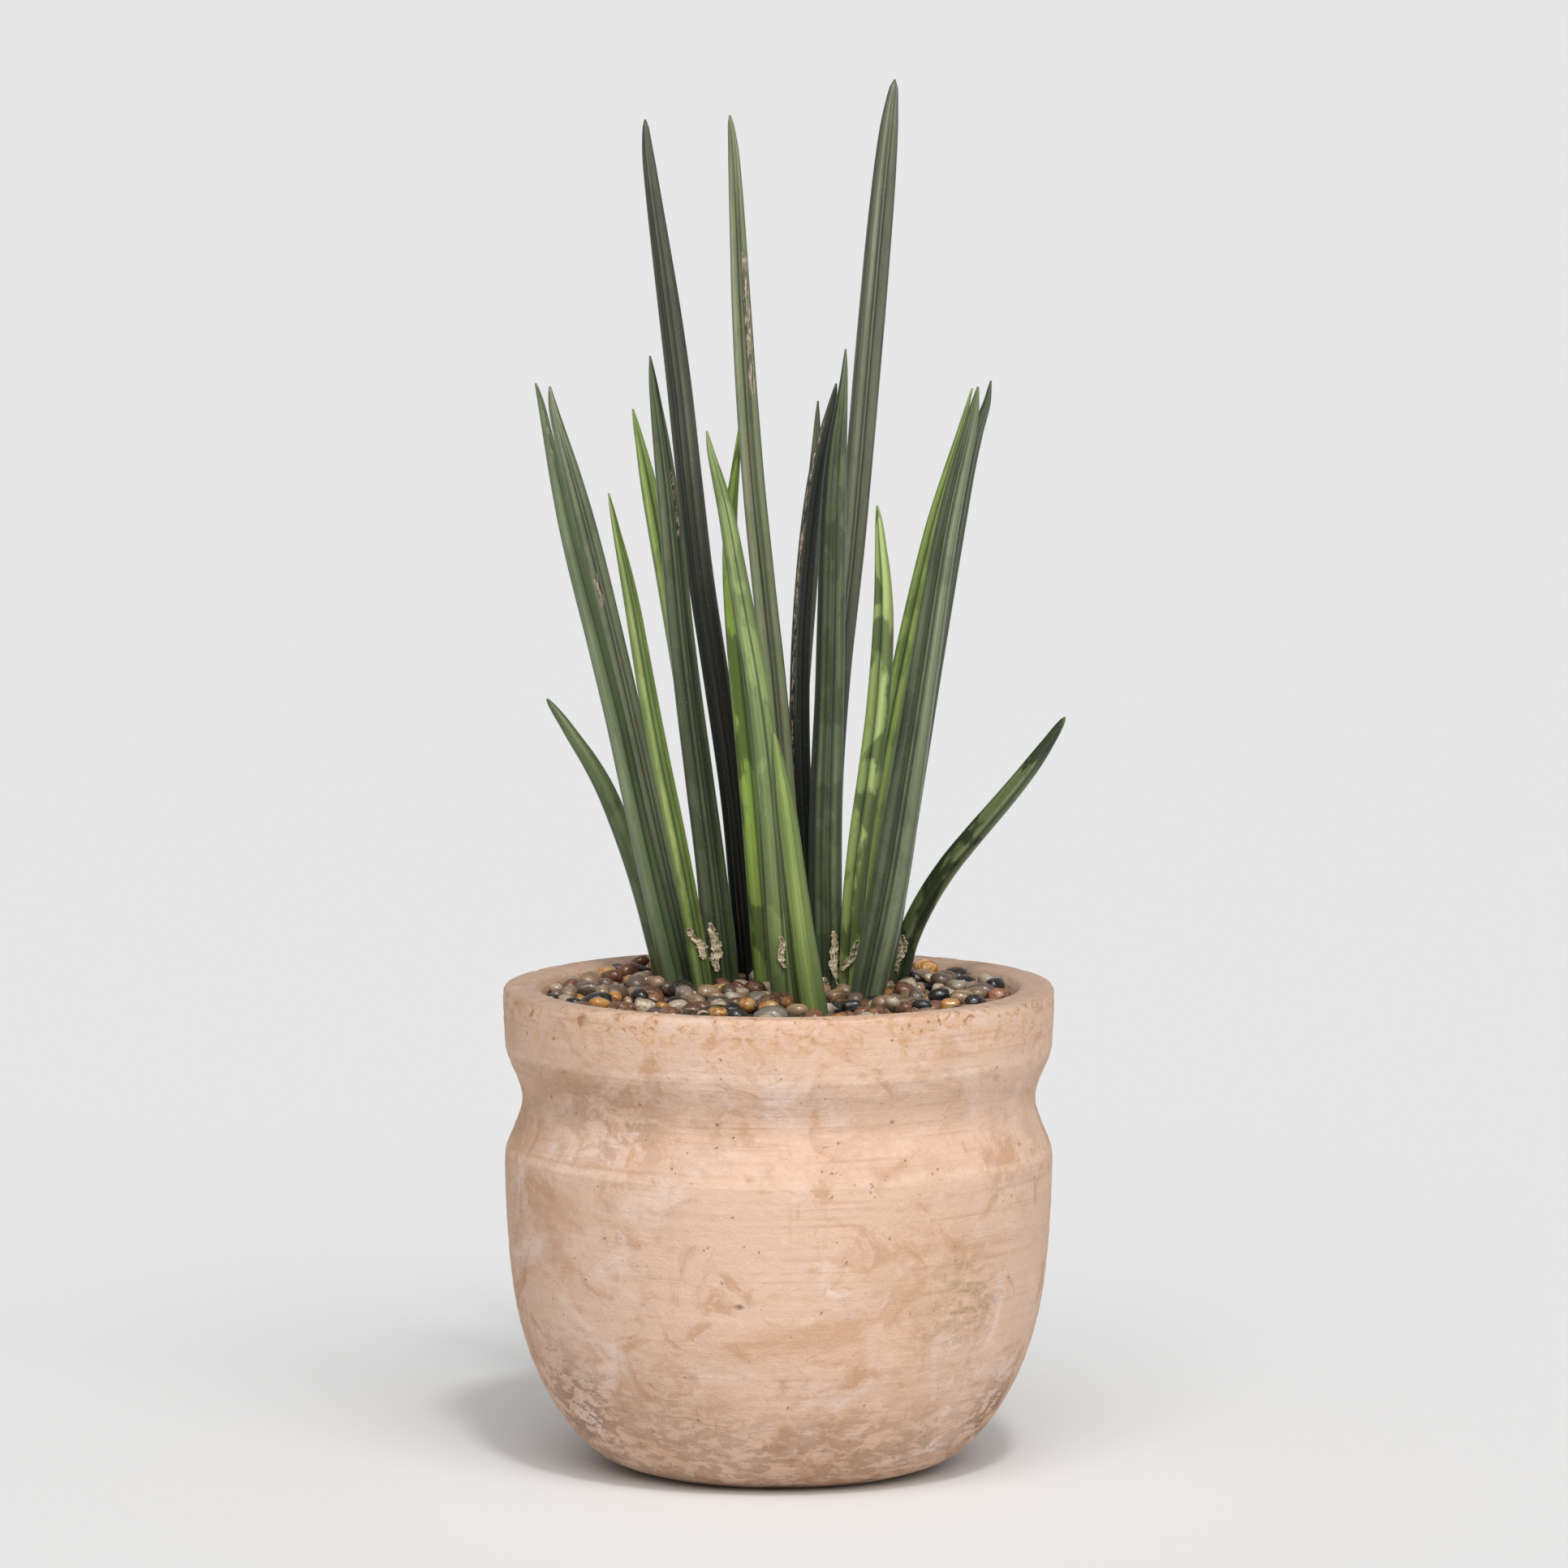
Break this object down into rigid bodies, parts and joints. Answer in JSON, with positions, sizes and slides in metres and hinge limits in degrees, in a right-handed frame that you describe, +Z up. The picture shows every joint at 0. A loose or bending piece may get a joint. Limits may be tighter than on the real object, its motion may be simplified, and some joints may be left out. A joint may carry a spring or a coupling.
{
  "type": "potted snake plant",
  "caption": "Upright clump of round, tapering, channelled snake plant leaves in a bellied, banded clay pot topped with river pebbles.",
  "frame": {"origin": "middle of the pot's foot, on the surface the pot stands on", "axes": "+Z up along the pot's axis; +Y away from the usual viewer, so that +X is the viewer's right"},
  "size_m": [0.2543, 0.25, 0.6261],
  "materials": {
    "terracotta": "matte",
    "soil": "matte",
    "rhizome": "matte",
    "gravel": "satin",
    "stone_pale": "satin",
    "stone_warm": "satin",
    "stone_dark": "gloss",
    "leaf_dark": "satin",
    "leaf_bright": "satin"
  },
  "bodies": {
    "root": {"pot": "terracotta", "potting_soil": "soil", "pebble_bed": "gravel", "rhizome_left": "rhizome", "rhizome_back": "rhizome", "rhizome_middle": "rhizome", "rhizome_front": "rhizome", "rhizome_centre_right": "rhizome", "rhizome_right": "rhizome", "leaf_left_front": "leaf_dark", "leaf_left_back": "leaf_dark", "leaf_left_young": "leaf_bright", "leaf_left_low": "leaf_dark", "leaf_inner_left": "leaf_dark", "leaf_inner_left_young": "leaf_bright", "leaf_tall_left": "leaf_dark", "leaf_centre_young": "leaf_bright", "leaf_centre_front": "leaf_dark", "leaf_tall_centre": "leaf_dark", "leaf_front_low": "leaf_bright", "leaf_inner_right": "leaf_dark", "leaf_dark_front": "leaf_dark", "leaf_dark_back": "leaf_dark", "leaf_tall_right": "leaf_dark", "leaf_right_young": "leaf_bright", "leaf_right_slim": "leaf_bright", "leaf_right_broad": "leaf_dark", "leaf_right_back": "leaf_dark", "leaf_right_arched": "leaf_bright", "pebble_01": "stone_warm", "pebble_02": "stone_dark", "pebble_03": "stone_warm", "pebble_04": "stone_pale", "pebble_05": "stone_dark", "pebble_06": "stone_pale", "pebble_07": "stone_warm", "pebble_08": "stone_dark", "pebble_09": "stone_warm", "pebble_10": "stone_pale", "pebble_11": "stone_dark", "pebble_12": "stone_pale", "pebble_13": "stone_warm", "pebble_14": "stone_dark", "pebble_15": "stone_warm", "pebble_16": "stone_pale", "pebble_17": "stone_dark", "pebble_18": "stone_pale", "pebble_19": "stone_warm", "pebble_20": "stone_dark", "pebble_21": "stone_warm", "pebble_22": "stone_pale", "pebble_23": "stone_dark", "pebble_24": "stone_pale", "pebble_25": "stone_warm", "pebble_26": "stone_dark", "pebble_27": "stone_warm", "pebble_28": "stone_pale", "pebble_29": "stone_dark", "pebble_30": "stone_pale"}
  },
  "joints": []
}
